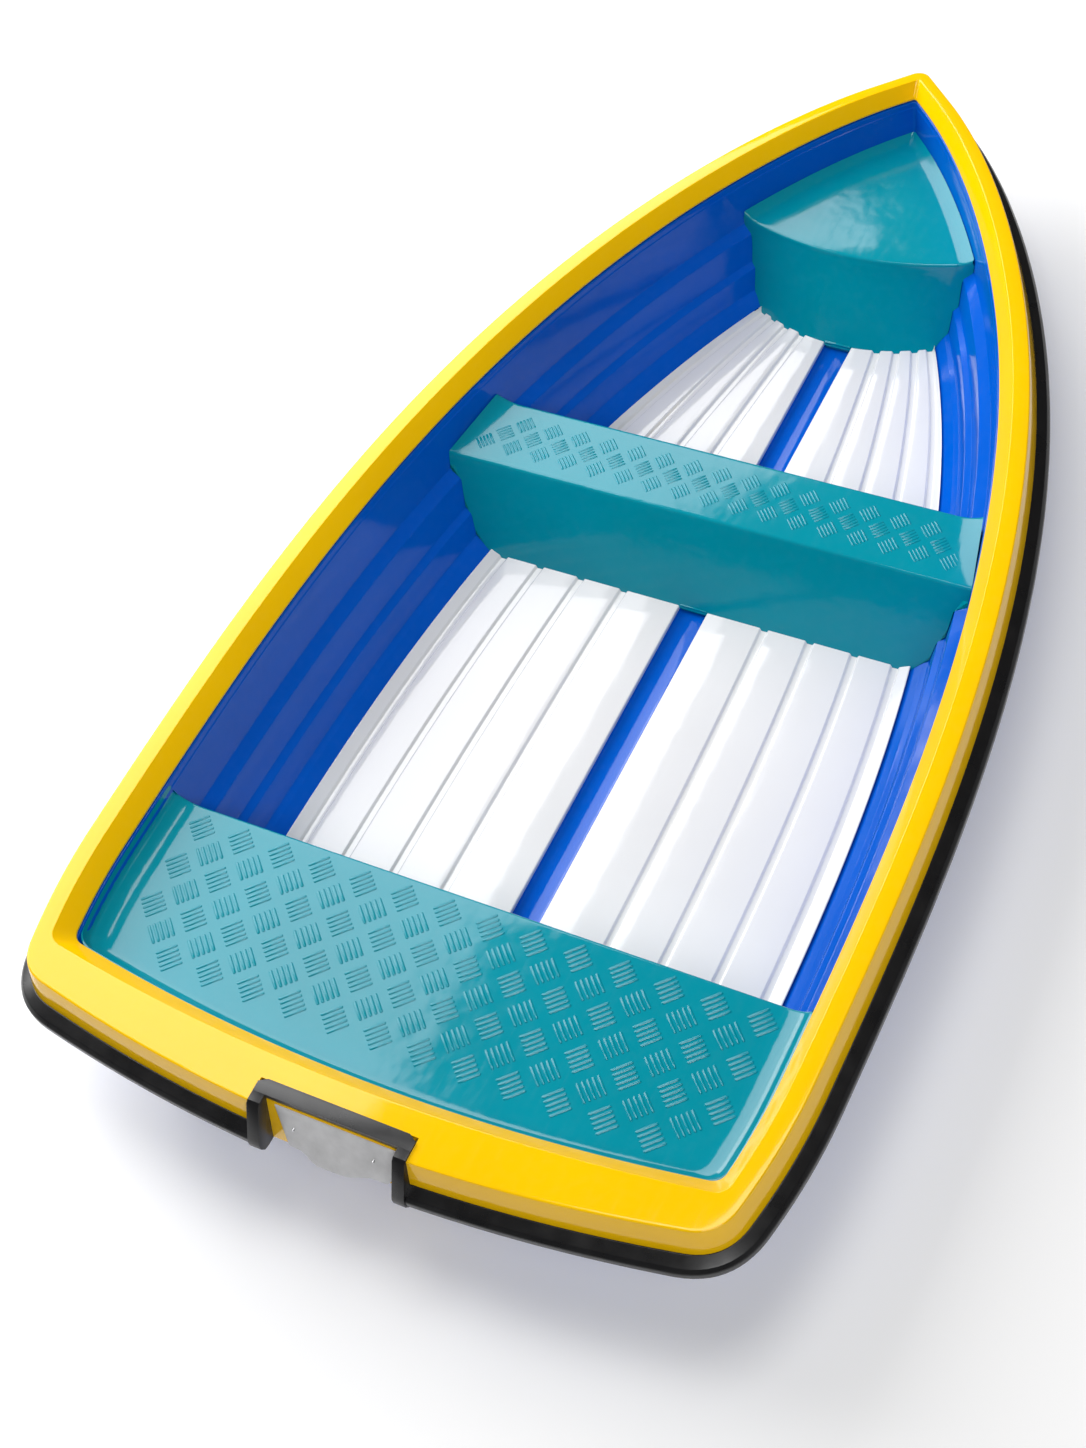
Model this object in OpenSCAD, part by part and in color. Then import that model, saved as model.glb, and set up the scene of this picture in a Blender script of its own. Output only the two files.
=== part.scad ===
// Small moulded rowing and tender dinghy with three box seats.
// X runs forward to the bow, Y to port, Z up. The origin is under the middle of the boat,
// on the surface that the keel strip and the bilge runners stand on.
// Inside the modules a "station" is a distance forward of the gunwale's stern corners,
// and a "level" is a height measured from the gunwale's top face, so levels are negative.

/* [Overall] */
// Gunwale length, from the stern corners to the bow tip
gunwale_length = 2316; // [1900:10:2900]
// Half of the gunwale's greatest width
half_beam = 640; // [520:5:780]
// Station of the greatest width
widest_station = 270; // [150:10:400]
// How much narrower each side is at the stern corners
stern_tuck = 34; // [0:1:60]
// How far the middle of the transom bows aft of its corners
transom_bow = 69; // [20:1:90]
// Radius of the gunwale's bow tip
bow_radius = 20; // [12:1:40]
// Radius of the gunwale's stern corners
stern_radius = 45; // [30:1:70]
// Fullness of the sides ahead of the widest station
side_fullness = 2.75; // [2.2:0.05:3.4]
// Bluntness of the bow
bow_bluntness = 0.82; // [0.7:0.01:0.95]

/* [Gunwale] */
// Width of the flat top along the sides
top_w = 30; // [24:1:50]
// Width of the flat top at the stern corners
transom_top_w = 60; // [50:1:90]
// Wall of the gunwale moulding
cap_wall = 5; // [4:0.5:7]
// Height of the outer skirt
skirt_h = 52; // [44:1:70]
// How far the skirt's foot stands out past the top edge
skirt_draft = 12; // [9:1:18]
// Width of the bevel inside the flat top
bevel_w = 25; // [18:1:32]
// Height of the bevel inside the flat top
bevel_h = 27; // [22:1:29]

/* [Rub rail] */
// Height of the rail
rail_h = 41; // [34:1:56]
// How far the rail stands out past the skirt's foot
rail_out = 24; // [16:1:36]

/* [Hull] */
// Wall of the hull moulding
hull_wall = 7; // [5:0.5:9]
// Depth of the inner bottom below the gunwale's top face
inner_depth = 273; // [250:1:420]
// Distance aft of the bow tip where the bottom starts to rise to the stem
forefoot_back = 416; // [366:10:456]
// How far the bottom rises at the stem
forefoot_rise = 90; // [40:5:120]
// Half width of the keel channel
channel_half = 27; // [20:1:40]
// Depth of the keel channel
channel_depth = 8; // [4:1:14]
// Thickness of the keel strip
strip_t = 12; // [8:1:20]
// Width of the keel strip
strip_w = 36; // [28:1:50]
// Distance of each bilge runner from the centre line
runner_y = 300; // [240:5:340]

/* [Floor] */
// Thickness of the floor panels
floor_t = 8; // [6:0.5:12]
// Width of the grooves between planks
groove_w = 12; // [8:1:16]
// Depth of the grooves
groove_d = 3; // [1:0.5:4]

/* [Seats] */
// Wall of the seat mouldings
seat_wall = 5; // [4:0.5:7]
// Depth of the stern seat below the gunwale's top face
stern_seat_depth = 77; // [60:1:110]
// Station of the stern seat's front edge
stern_seat_front = 404; // [340:2:460]
// Depth of the middle thwart below the gunwale's top face
thwart_depth = 94; // [70:1:120]
// Station of the middle thwart's aft edge
thwart_aft = 1245; // [1150:5:1300]
// Width of the middle thwart's top, fore and aft
thwart_w = 143; // [120:1:200]
// Depth of the bow seat below the gunwale's top face
bow_seat_depth = 107; // [80:1:130]
// Distance of the bow seat's aft edge from the bow tip, on the centre line
bow_seat_back = 396; // [356:5:456]

/* [Motor notch] */
// Half width of the notch frame, outside
notch_half = 137; // [120:1:160]
// Width of the notch frame's legs
frame_w = 22; // [16:1:26]
// How far the notch frame stands above the flat top
frame_proud = 4; // [2:0.5:6]

/* [Bow eye] */
// Radius of the eye's hole
eye_r = 10; // [8:0.5:14]
// Thickness of the eye
eye_t = 10; // [8:0.5:14]
// Radius of the eye's shank
shank_r = 5; // [4:0.5:6]
// Depth of the eye below the gunwale's top face
eye_depth = 150; // [120:5:180]

/* [Drain] */
// Radius of the drain's bore
drain_r = 10; // [8:0.5:12]
// Radial running clearance of the plug in its bore
plug_gap = 0.05; // [0.03:0.01:0.09]
// Distance of the drain from the centre line, to starboard
drain_y = 90; // [60:5:160]

/* [Hidden] */
$fn = 48;

gap = 0.3;                 // space left between pieces that lie against each other
seat_gap = 2.4;            // space between a seat's sides and the planking, which is bonded
bed = 0.8;                 // bedding under the floor panels
flange_top = bevel_h + 5;  // depth of the hull flange's upper face
flange_t = 6;
hull_bottom = inner_depth + hull_wall;
keel_bottom = inner_depth + channel_depth + hull_wall;
rest_depth = keel_bottom + strip_t;          // depth of the surface that the boat stands on
floor_top = inner_depth - floor_t - bed;     // depth of the planks' upper faces
rail_top = skirt_h + 1;
rail_bottom = rail_top + rail_h;
rail_o = skirt_draft + rail_out;             // how far the rail stands out past the top edge
fore_end = gunwale_length + rail_o;
aft_end = -transom_bow - rail_o;
middle = (fore_end + aft_end) / 2;
core_half = half_beam - bow_radius;
core_tip = gunwale_length - bow_radius;
forefoot_station = gunwale_length - forefoot_back;
bow_seat_aft = gunwale_length - bow_seat_back;
eps = 0.01;

// ---- Plan outline of the boat -------------------------------------------------------------

// Half width at a station, less the bow radius
function core(s) = s > widest_station
  ? core_half * pow(max(0, 1 - pow((s - widest_station) / (core_tip - widest_station),
      side_fullness)), bow_bluntness)
  : core_half - stern_tuck * pow((widest_station - s) / widest_station, 2);
// Station ahead of the widest one where core() has a given value
function core_station(y) = widest_station + (core_tip - widest_station)
  * pow(1 - pow(y / core_half, 1 / bow_bluntness), 1 / side_fullness);

// An outline is the top outer edge moved out by o. These give its aft edge and stern corners.
function aft_of(o) = o >= 0 ? -o
  : o > -top_w ? -o * transom_top_w / top_w
  : transom_top_w - top_w - o;
function sag_of(o) = o >= 0 ? transom_bow : transom_bow + max(o, -top_w) * 0.7;
function corner_of(o) = o >= 0 ? stern_radius + o : max(18, stern_radius + o * 0.75);

SIDE = 30;     // points along each side
TIP = 4;       // points around half of the bow tip
CORNER = 5;    // points around a stern corner
AFT = 8;       // points along half of the aft edge
HALF = SIDE + TIP + CORNER + AFT;
N = 2 * HALF + 1;

function bend(a, b, c, t) = a * (1 - t) * (1 - t) + b * 2 * t * (1 - t) + c * t * t;

// Port half of an outline, from the bow tip to the middle of the aft edge, as [station, y]
function half_outline(o, aft, sag, r) =
  let (oo = o + bow_radius, rb = max(oo, tip_r), s_tip = core_station(rb - oo),
    y_side = function (s) core(s) + oo,
    yc = y_side(aft), y_a = yc - r, s_b = aft + r,
    x_aft = function (y) aft - sag * (1 - pow(y / yc, 2)))
  concat(
    [for (i = [0:TIP - 1]) let (a = 90 * i / TIP) [s_tip + rb * cos(a), rb * sin(a)]],
    [for (i = [0:SIDE - 1]) let (s = s_tip - (s_tip - s_b) * pow(i / SIDE, 1.4))
      [s, y_side(s)]],
    [for (i = [0:CORNER - 1]) bend([s_b, y_side(s_b)], [aft, yc], [x_aft(y_a), y_a], i / CORNER)],
    [for (i = [0:AFT - 1]) let (y = y_a * (1 - i / AFT)) [x_aft(y), y]],
    [[x_aft(0), 0]]);

// The rise to the stem grows from nothing at rise_from to its whole over rise_span, downwards
rise_from = 100;
rise_span = 180;
function rise_share(s) = forefoot_rise
  * pow(max(0, s - forefoot_station) / (gunwale_length - forefoot_station), 2);
// How far the bottom has risen at a station, for a level
function rise(s, level) = rise_share(s) * max(0, min(1, (-level - rise_from) / rise_span));
// Depth that a point had before the rise brought it to a given depth
function depth_before_rise(s, depth) = let (k = rise_share(s) / rise_span)
  max(depth, (depth - rise_from * k) / (1 - k));

// A closed ring at one level. p is [o, level, aft, sag]
function ring(p) =
  let (h = half_outline(p[0], p[2], p[3], corner_of(p[0])),
    up = function (q, y) [q[0], y, p[1] + rise(q[0], p[1])])
  concat([for (i = [0:HALF]) up(h[i], h[i][1])],
    [for (i = [HALF - 1:-1:1]) up(h[i], -h[i][1])]);
M = 2 * HALF;

// Section points that follow the gunwale's own stern get their aft edge from aft_of()
function gunwale_point(p) = [p[0], p[1], aft_of(p[0]), sag_of(p[0])];

// Skin between successive rings
function skin(count, closed) = [for (k = [0:count - (closed ? 1 : 2)], i = [0:M - 1], half = [0, 1])
  let (a = k * M + i, b = k * M + (i + 1) % M,
    c = ((k + 1) % count) * M + (i + 1) % M, d = ((k + 1) % count) * M + i)
  half == 0 ? [a, c, b] : [a, d, c]];

// Solid whose section is swept once around the boat
module swept(section) {
  rings = [for (p = section) each ring(gunwale_point(p))];
  polyhedron(rings, skin(len(section), true));
}

// Solid of stacked rings, closed by a flat face at each end
module stacked(points) {
  rings = [for (p = points) each ring(p)];
  last = len(points) - 1;
  polyhedron(rings, concat(skin(len(points), false),
    [[for (i = [0:M - 1]) i], [for (i = [M - 1:-1:0]) last * M + i]]));
}

// ---- Hull section --------------------------------------------------------------------------

// Inner face of the planking: [o, level] from the flange down to the bottom.
// The three ledges are the laps of the strakes.
strakes = [[-56, -flange_top], [-75, 143 - inner_depth], [-98, 133 - inner_depth],
  [-112, 80 - inner_depth], [-125, 73 - inner_depth], [-139, 33 - inner_depth],
  [-150, 27 - inner_depth], [-182, -inner_depth]];
transom_aft = 34;      // station of the transom's inner face at its corners
transom_sag = 40;

// The planking's inner face, moved inwards by c
function inside(c, aft, sag) = [for (p = strakes) [p[0] - c, p[1] + (p[1] < -inner_depth + 1 ? c : 0),
  aft + c, sag]];
function outside() = [for (i = [1:len(strakes) - 1]) let (p = strakes[i])
  [p[0] + hull_wall, p[1] - hull_wall, transom_aft - hull_wall, transom_sag]];

// The space inside the planking, moved inwards by c
module cavity(c, aft = transom_aft, sag = transom_sag) {
  points = inside(c, aft, sag);
  stacked([for (i = [len(points) - 1:-1:0]) points[i]]);
}

function flip(list) = [for (i = [len(list) - 1:-1:0]) list[i]];

module hull_solid() {
  stacked(concat(flip(outside()),
    [[strakes[0][0] + hull_wall, -flange_top - flange_t, transom_aft - hull_wall, transom_sag],
      [-1, -flange_top - flange_t, 1, transom_bow],
      [-1, -flange_top, 1, transom_bow]],
    [[strakes[0][0] - eps, -flange_top, transom_aft, transom_sag]],
    [for (i = [1:len(strakes) - 1]) [strakes[i][0], strakes[i][1], transom_aft, transom_sag]]));
}

// Free-form shape as one mesh, at its own size
module free_form() {
  resize([0, 0, 0]) children();
}

module at_boat() {
  translate([-middle, 0, rest_depth]) children();
}

// Screw places on the gunwale: [station, side]
screw_stations = [for (i = [0:7]) 180 + i * (gunwale_length - 560) / 7];
screw_o = -24;
screw_r = 2.2;
head_r = 4.2;
head_t = 2;
runner_from = 300;
runner_to = 1250;
runner_w = 24;
module at_gunwale_screws() {
  for (s = screw_stations, side = [-1, 1])
    translate([s, side * (core(s) + bow_radius + screw_o), -flange_top - flange_t]) children();
}

strip_from = 90;
strip_to = forefoot_station - 10;
keel_screw_stations = [for (i = [0:5]) strip_from + 60 + i * (strip_to - strip_from - 120) / 5];

// Stations of the stem's inner face at the bow eye, and of its outer face at the collar's upper edge
tip_r = 6;
function stem_at(depth, wall, s = 0, tries = 4) =
  let (d = depth_before_rise(s, depth) - wall,
    found = core_station(tip_r + planking(d) - wall - bow_radius) + tip_r)
  tries == 0 ? found : stem_at(depth, wall, found, tries - 1);
stem_inner = stem_at(eye_depth, 0);
stem_outer = stem_at(eye_depth - shank_r - 5, hull_wall);
drain_level = -inner_depth + 34;
drain_face = transom_aft - hull_wall - transom_sag;

// Station where the keel channel ends: at the forefoot, or past the bow seat's tab
function keel_end() = max(forefoot_station, bow_seat_aft - bow_draft + seat_wall + 12);

module hull_shell() color("#0a4fb8") at_boat() free_form() difference() {
  union() {
    hull_solid();
    translate([60, -channel_half - hull_wall, -keel_bottom])
      cube([keel_end() - 60, 2 * (channel_half + hull_wall), keel_bottom - hull_bottom + 3]);
  }
  translate([75, -channel_half, -inner_depth - channel_depth])
    cube([keel_end() - 75 - hull_wall, 2 * channel_half, channel_depth + 10]);
  notch_cut(-flange_top - 20, -flange_top + 5, block_half + gap, block_fwd - gap);
  at_gunwale_screws() translate([0, 0, -1]) cylinder(h = flange_t + 2, r = screw_r + 0.4, $fn = 16);
  pad_screw_holes();
  translate([stem_inner - 30, 0, -eye_depth]) rotate([0, 90, 0])
    cylinder(h = 120, r = shank_r + 0.5, $fn = 32);
  translate([drain_face - 60, -drain_y, drain_level]) rotate([0, 90, 0])
    cylinder(h = 90, r = bush_r + 0.5, $fn = 32);
  for (s = keel_screw_stations) translate([s, 0, -keel_bottom - 1])
    cylinder(h = hull_wall - 1, r = screw_r + 0.4, $fn = 16);
}

// Flat bar with round ends
module round_bar(from, to, w) {
  translate([from + w / 2, -w / 2]) square([to - from - w, w]);
  for (x = [from + w / 2, to - w / 2]) translate([x, 0]) circle(r = w / 2);
}

// Black strip under the keel channel, with round ends
module keel_strip() color("#26272a") at_boat() difference() {
  translate([0, 0, -rest_depth]) linear_extrude(height = strip_t)
    round_bar(strip_from, strip_to, strip_w);
  for (s = keel_screw_stations) translate([s, 0, -rest_depth]) {
    translate([0, 0, -1]) cylinder(h = strip_t + 2, r = screw_r + 0.1);
    translate([0, 0, -1]) cylinder(h = 5, r = head_r + 0.3);
  }
}

module pan_screw(length) {
  cylinder(h = length, r = screw_r);
  translate([0, 0, -head_t]) cylinder(h = head_t + eps, r = head_r);
}

module keel_screws() color("silver") at_boat() for (s = keel_screw_stations)
  translate([s, 0, -rest_depth + 4 - gap]) pan_screw(strip_t);

module bilge_runner(side) color("#26272a") at_boat()
  translate([0, side * runner_y, -rest_depth])
    linear_extrude(height = rest_depth - hull_bottom) round_bar(runner_from, runner_to, runner_w);
module bilge_runner_port() bilge_runner(1);
module bilge_runner_starboard() bilge_runner(-1);

// ---- Gunwale -------------------------------------------------------------------------------

// Everything aft of a notch of the given half width and forward face, between two levels
module notch_cut(low, high, half = notch_half + gap, fwd = notch_fwd) {
  translate([aft_end - 10, -half, low]) cube([10 - fwd - aft_end, 2 * half, high - low]);
}

bevel_o = -top_w - bevel_w;
cap_section = [[skirt_draft, -skirt_h], [3, -12], [0, -4], [-5, 0], [2 - top_w, 0],
  [-top_w - 1, -1.5], [bevel_o, -bevel_h], [bevel_o - 1, gap - flange_top],
  [bevel_o + cap_wall, gap - flange_top], [1 - top_w, -cap_wall - 1], [-6, -cap_wall - 1],
  [-2.5, -14], [0, -flange_top - 2], [0, -rail_bottom], [cap_wall, -rail_bottom],
  [cap_wall, -rail_top]];

// Yellow ring that covers the hull's flange, with a block behind the motor notch
module gunwale_cap() color("#ffc20e") at_boat() free_form() {
  difference() {
    swept(cap_section);
    notch_cut(-keel_bottom, 10);
  }
  difference() {
    translate([-notch_back, -block_half, -block_depth])
      cube([notch_back - block_fwd, 2 * block_half, block_depth - 1]);
    translate([-notch_back - 1, -block_half - 1, -frame_inset - gap])
      cube([notch_back - notch_fwd + 1, 2 * (block_half + 1), frame_inset + 1]);
    pad_screw_holes();
  }
}

// Foam and timber stiffener inside the cap, over the flange
module gunwale_core() color("#d8b57a") at_boat() free_form() difference() {
  swept([[1 - top_w, -cap_wall - 6], [bevel_o + cap_wall + 6, -flange_top + gap],
    [-4, -flange_top + gap], [-5.5, -16], [-10, -cap_wall - 1 - gap * 3]]);
  notch_cut(-flange_top - 1, -1, block_half + 1, block_fwd - 1);
  at_gunwale_screws() cylinder(h = flange_t + 15, r = screw_r + 0.4, $fn = 16);
}

module gunwale_screws() color("silver") at_boat() at_gunwale_screws()
  translate([0, 0, -gap]) pan_screw(flange_t + 14);

rail_section = flip([[cap_wall + gap, -rail_top], [skirt_draft, -rail_top], [rail_o - 6, -rail_top - 7],
  [rail_o - 1, -rail_top - 12], [rail_o, -rail_top - 18], [rail_o - 1, -rail_top - 25],
  [rail_o - 7, -rail_bottom + 3], [rail_o - 16, -rail_bottom], [cap_wall + gap, -rail_bottom]]);

// Half of the black rail, from the notch's leg to the bow tip
module rub_rail(side) color("#26272a") at_boat() free_form() intersection() {
  difference() {
    swept(rail_section);
    notch_cut(-keel_bottom, 10);
  }
  translate([aft_end - 10, side > 0 ? gap / 2 : -half_beam - 100, -keel_bottom])
    cube([fore_end - aft_end + 20, half_beam + 100 - gap / 2, keel_bottom + 10]);
}
module rub_rail_port() rub_rail(1);
module rub_rail_starboard() rub_rail(-1);

// ---- Motor notch ---------------------------------------------------------------------------

notch_back = 50;         // the block's aft face is this far aft of the corners
notch_fwd = 25;          // the frame's bar reaches to this far aft of the corners
frame_inset = 8;
block_fwd = 15;          // the block's forward face is this far aft of the corners
block_half = notch_half + 12;
block_depth = rail_bottom;
leg_aft = -aft_end;

// Black frame that carries the rail up and over the notch
module notch_frame() color("#26272a") at_boat() {
  translate([-notch_back - 2, -notch_half, -frame_inset])
    cube([notch_back + 2 - notch_fwd - gap, 2 * notch_half, frame_inset + frame_proud]);
  for (side = [-1, 1])
    translate([-leg_aft, side * (notch_half - frame_w / 2) - frame_w / 2, -rail_bottom])
      cube([leg_aft - notch_back - gap, frame_w, rail_bottom + frame_proud]);
}

pad_half = notch_half - frame_w - 3;
pad_t = 34;
pad_top = frame_inset + 4;
pad_drop = rail_bottom + 16;
pad_screw_y = 70;

// Grey moulded pad that an outboard motor's clamp bears on
module motor_pad() color("#d6d8db") at_boat() difference() {
  translate([-notch_back - gap, 0, 0]) rotate([90, 0, -90]) linear_extrude(height = pad_t) polygon([
    [-pad_half, -pad_top], [-pad_half + 18, -rail_bottom + 14], [-pad_half + 50, -rail_bottom + 4],
    [-25, -pad_drop], [25, -pad_drop], [pad_half - 30, -rail_bottom + 4], [pad_half - 12, -rail_bottom + 16],
    [pad_half, -pad_top]]);
  at_pad_screws() cylinder(h = pad_screw_length + 2, r = screw_r + 0.1);
}

module at_pad_screws() {
  for (side = [-1, 1]) translate([core_fwd, side * pad_screw_y, -block_depth / 2])
    rotate([0, -90, 0]) children();
}
module pad_screw_holes() {
  at_pad_screws() translate([0, 0, -1]) cylinder(h = 120, r = screw_r + 0.4, $fn = 16);
}

core_half_w = 200;       // half width of the transom board
core_t = 25;             // thickness of the transom board
core_level = drain_level + drain_r + 16;     // level of its lower edge, above the drain
// Station of the transom's inner face at a distance from the centre line, at a depth
function transom_at(y, depth) = transom_aft - transom_sag
  * (1 - pow(y / (core(transom_aft) + bow_radius - planking(depth)), 2));
core_fwd = transom_at(core_half_w, -core_level) + 1.5 + core_t;
pad_screw_length = core_fwd + notch_back + 20;

// Screws from the board through the transom into the pad
module pad_screws() color("silver") at_boat() at_pad_screws()
  translate([0, 0, -gap]) pan_screw(pad_screw_length);

// Marine plywood board inside the transom
module transom_core() color("#b98a55") at_boat() difference() {
  translate([core_fwd - core_t, -core_half_w, core_level])
    cube([core_t, 2 * core_half_w, -flange_top - flange_t - 2 - core_level]);
  at_pad_screws() translate([0, 0, -1]) cylinder(h = core_t + 2, r = screw_r + 0.1);
}

// ---- Floor ---------------------------------------------------------------------------------

floor_edge = planking(floor_top) + 2.4;   // distance of the floor's outer edge inside the top edge
floor_from = 75;
floor_to = forefoot_station;
FLOOR_STATIONS = 24;
// Middles of the four grooves, as shares of the panel's width
grooves = [0.288, 0.513, 0.73, 0.925];

// Section of a panel at a station, as [y, level]: planks and grooves on top, flat below
function floor_section(s) =
  let (y0 = channel_half + gap, y1 = core(s) + bow_radius - floor_edge, w = y1 - y0,
    g = min(groove_w, w * 0.09))
  concat([[y0, -floor_top]],
    [for (f = grooves) let (y = y0 + f * w) each [[y - g / 2, -floor_top],
      [y - g / 4, -floor_top - groove_d], [y + g / 4, -floor_top - groove_d], [y + g / 2, -floor_top]]],
    [[y1, -floor_top], [y1 - 14, -floor_top - floor_t], [y0, -floor_top - floor_t]]);

module floor_panel(side) {
  count = len(floor_section(1000));
  stations = [for (i = [0:FLOOR_STATIONS]) floor_from + (floor_to - floor_from) * i / FLOOR_STATIONS];
  points = [for (s = stations, p = floor_section(s)) [s, side * p[0], p[1]]];
  last = FLOOR_STATIONS * count;
  sides = [for (k = [0:FLOOR_STATIONS - 1], i = [0:count - 1], half = [0, 1])
    let (a = k * count + i, b = k * count + (i + 1) % count, c = b + count, d = a + count)
    half == 0 ? [a, b, c] : [a, c, d]];
  faces = concat(sides, [[for (i = [count - 1:-1:0]) i], [for (i = [0:count - 1]) last + i]]);
  polyhedron(points, side > 0 ? faces : [for (f = faces) [for (i = [len(f) - 1:-1:0]) f[i]]]);
}
module floor_port() color("#f2f2f4") at_boat() free_form() floor_panel(1);
module floor_starboard() color("#f2f2f4") at_boat() free_form() floor_panel(-1);

// ---- Seats ---------------------------------------------------------------------------------

seat_foot = floor_top - gap;    // depth of the seats' lower edges
lip_aft = transom_top_w - top_w - bevel_o + 3;
lip_sag = sag_of(-top_w);
aft_draft = 78;                 // slope of the thwart's aft face over its height
fore_draft = 30;

// How far the planking's inner face lies inside the top edge, at a depth
function planking(depth) = lookup(depth, [for (p = strakes) [-p[1], -p[0]]]);
// Depths where a seat's sides change slope between its top and its foot
function seat_depths(top, foot) = concat([top],
  [for (p = strakes) if (-p[1] > top + 1 && -p[1] < foot - 1) -p[1]], [foot]);
function mirror_y(half) = concat(half, [for (i = [len(half) - 1:-1:0]) [half[i][0], -half[i][1]]]);

// Solid of stacked plan outlines, from the top down. plans is a list of [depth, outline]
module plan_stack(plans) {
  count = len(plans[0][1]);
  points = [for (q = plans, p = q[1]) [p[0], p[1], rise(p[0], -q[0]) - q[0]]];
  last = (len(plans) - 1) * count;
  sides = [for (k = [0:len(plans) - 2], i = [0:count - 1], half = [0, 1])
    let (a = k * count + i, b = k * count + (i + 1) % count, c = b + count, d = a + count)
    half == 0 ? [a, b, c] : [a, c, d]];
  polyhedron(points, concat(sides,
    [[for (i = [count - 1:-1:0]) i], [for (i = [0:count - 1]) last + i]]));
}

// Port half of a seat's plan between two stations, following the planking
function box_plan(from, to, depth, c) = let (n = 5) mirror_y(
  [for (i = [0:n]) let (s = to + (from - to) * i / n)
    [s, core(s) + bow_radius - planking(depth) - c]]);

// Tab that closes the keel channel under a seat's face
module channel_tab(s) {
  translate([s, 1 - channel_half, -inner_depth - channel_depth + gap])
    cube([seat_wall, 2 * channel_half - 2, channel_depth + inner_depth - seat_foot + 3]);
}

module thwart_block(c, foot = seat_foot) {
  top = thwart_depth + c;
  plan_stack([for (d = seat_depths(top, foot)) let (f = (d - thwart_depth) / (seat_foot - thwart_depth))
    [d, box_plan(thwart_aft - aft_draft * f + c, thwart_aft + thwart_w + fore_draft * f - c, d,
      c + seat_gap)]]);
}
module mid_thwart() color("#0f8a96") at_boat() free_form() {
  difference() {
    thwart_block(0);
    thwart_block(seat_wall, seat_foot + 1);
  }
  channel_tab(thwart_aft - aft_draft + 0.5);
}
module thwart_foam() color("#e9e2c8") at_boat() free_form() thwart_block(seat_wall + 1);

// Port half of the stern seat's plan: side, rounded corner and the bowed aft edge
function stern_plan(front, depth, c) =
  let (y = function (s) core(s) + bow_radius - planking(depth) - c, aft = lip_aft + c, r = 22,
    yc = y(aft), y_a = yc - r, s_b = aft + r,
    x_aft = function (v) aft - lip_sag * (1 - pow(v / yc, 2)),
    half = concat([for (i = [0:6]) let (s = front + (s_b - front) * i / 7) [s, y(s)]],
      [for (i = [0:3]) bend([s_b, y(s_b)], [aft, yc], [x_aft(y_a), y_a], i / 4)],
      [for (i = [0:5]) let (v = y_a * (1 - i / 6)) [x_aft(v), v]]))
  concat(half, [[x_aft(0), 0]], [for (i = [len(half) - 1:-1:0]) [half[i][0], -half[i][1]]]);
module stern_block(c, foot = seat_foot) {
  top = stern_seat_depth + c;
  plan_stack([for (d = seat_depths(top, foot))
    let (f = (d - stern_seat_depth) / (seat_foot - stern_seat_depth))
    [d, stern_plan(stern_seat_front + fore_draft * f - c, d, c + seat_gap)]]);
}
module stern_seat() color("#0f8a96") at_boat() free_form() difference() {
  stern_block(0);
  stern_block(seat_wall, seat_foot + 1);
}
module stern_foam() color("#e9e2c8") at_boat() free_form() stern_block(seat_wall + 1);

bow_bulge = 40;          // how far the bow seat's edge bows aft of its corners
bow_draft = 85;          // slope of its front face on the centre line
bow_corner_y = 222;
// Station of the bow seat's front face at a depth and a distance from the centre line
function bow_face(depth, y) =
  let (f = max(0, (depth - bow_seat_depth) / (seat_foot - bow_seat_depth)))
  bow_seat_aft - bow_draft * pow(f, 1.3) + (bow_bulge + 30 * f) * pow(y / bow_corner_y, 2);
// Half width of the bow seat's front edge at a depth: where its face meets the planking
function bow_width(depth, c, y = 200, tries = 12) = tries == 0 ? y
  : bow_width(depth, c, (y + core(bow_face(depth, y)) + bow_radius - planking(depth) - c) / 2,
    tries - 1);
function bow_plan(depth, c) =
  let (inset = planking(depth) + c + seat_gap - bow_radius, yw = bow_width(depth, c + seat_gap),
    s_tip = core_station(inset + tip_r), s_w = bow_face(depth, yw) + c,
    side = [for (i = [0:8]) let (s = s_tip + (s_w - s_tip) * pow(i / 8, 1.2))
      [s, core(s) - inset]],
    face = [for (i = [1:6]) let (y = side[8][1] * (1 - i / 6)) [bow_face(depth, y) + c, y]])
  concat([for (i = [0:len(side) - 1]) side[i]], face,
    [for (i = [4:-1:0]) [face[i][0], -face[i][1]]],
    [for (i = [8:-1:0]) [side[i][0], -side[i][1]]]);
module bow_block(c, foot = seat_foot) {
  top = bow_seat_depth + c;
  plan_stack([for (d = seat_depths(top, foot)) [d, bow_plan(d, c)]]);
}
module bow_seat() color("#0f8a96") at_boat() free_form() {
  difference() {
    bow_block(0);
    bow_block(seat_wall, seat_foot + 1);
    translate([block_aft - 20, -73, -eye_depth - 34]) cube([200, 146, 68]);
  }
  channel_tab(bow_seat_aft - bow_draft + 1.2);
}
module bow_foam() color("#e9e2c8") at_boat() free_form() difference() {
  bow_block(seat_wall + 1.5);
  translate([block_aft - 24, -77, -eye_depth - 38]) cube([240, 154, 76]);
}

// ---- Bow eye -------------------------------------------------------------------------------

stem_face = stem_outer + 8;     // station of the eye's collar
block_aft = stem_inner - 50;

// Plastic wedge in the stem, flat on its aft face
module stem_block() color("#6d7176") at_boat() free_form() difference() {
  intersection() {
    cavity(1);
    translate([block_aft, -70, -eye_depth - 30]) cube([200, 140, 60]);
  }
  translate([block_aft - 1, 0, -eye_depth]) rotate([0, 90, 0])
    cylinder(h = 200, r = shank_r + 0.5, $fn = 32);
}

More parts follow.
